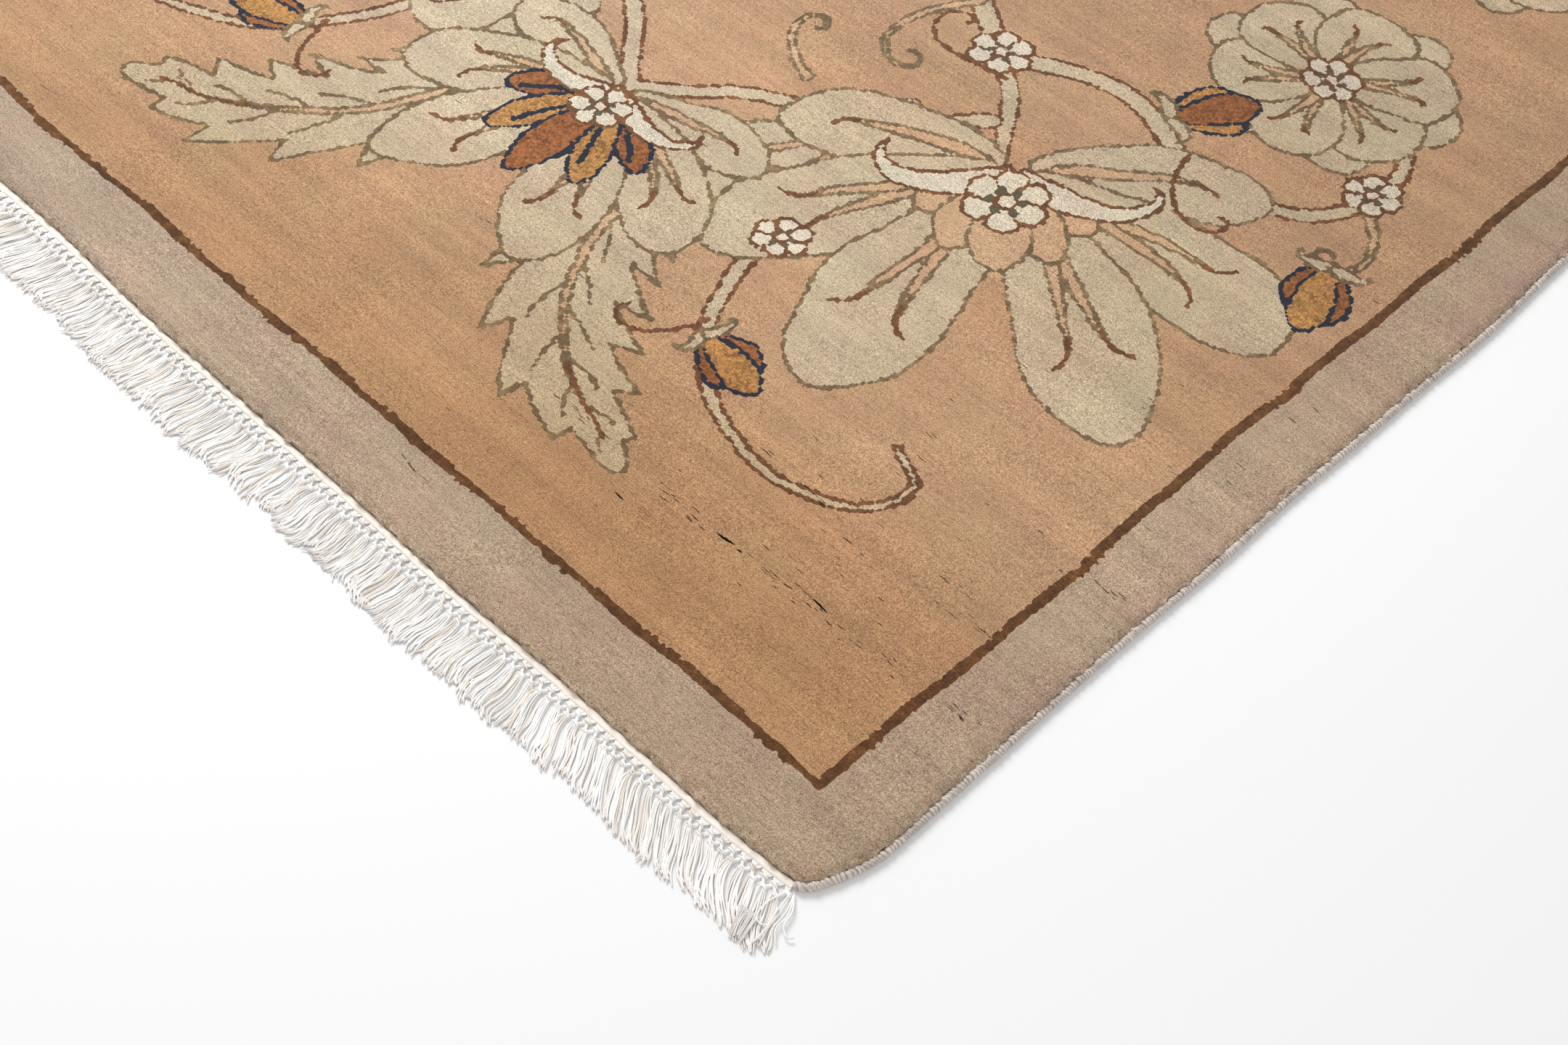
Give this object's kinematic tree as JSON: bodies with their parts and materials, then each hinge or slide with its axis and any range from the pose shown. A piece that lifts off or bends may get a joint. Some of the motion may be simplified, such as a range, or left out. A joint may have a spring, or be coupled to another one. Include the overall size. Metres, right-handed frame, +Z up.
{
  "type": "hand-knotted pile rug with fringed ends",
  "caption": "Flat rectangular wool pile rug with a plain border round a floral field, overcast side cords and knotted cotton fringes on both short ends.",
  "frame": {"origin": "on the floor under the middle of the rug's box", "axes": "+Z up, +Y along the rug's length and its warps, +X across its width, fringed ends facing -Y and +Y"},
  "size_m": [1.5282, 2.5766, 0.011],
  "materials": {
    "pile": "cut wool pile, matt, in peach tan, greige and brown yarns",
    "selvedge": "overcast wool yarn, matt, grey lilac",
    "heading": "flat-woven cotton, matt, cream",
    "fringe": "knotted cotton strands, matt, off-white"
  },
  "bodies": {
    "root": {"pile_body": "pile", "selvedge_right": "selvedge", "selvedge_left": "selvedge", "heading_near": "heading", "heading_far": "heading", "fringe_near": "fringe", "fringe_far": "fringe"}
  },
  "joints": []
}
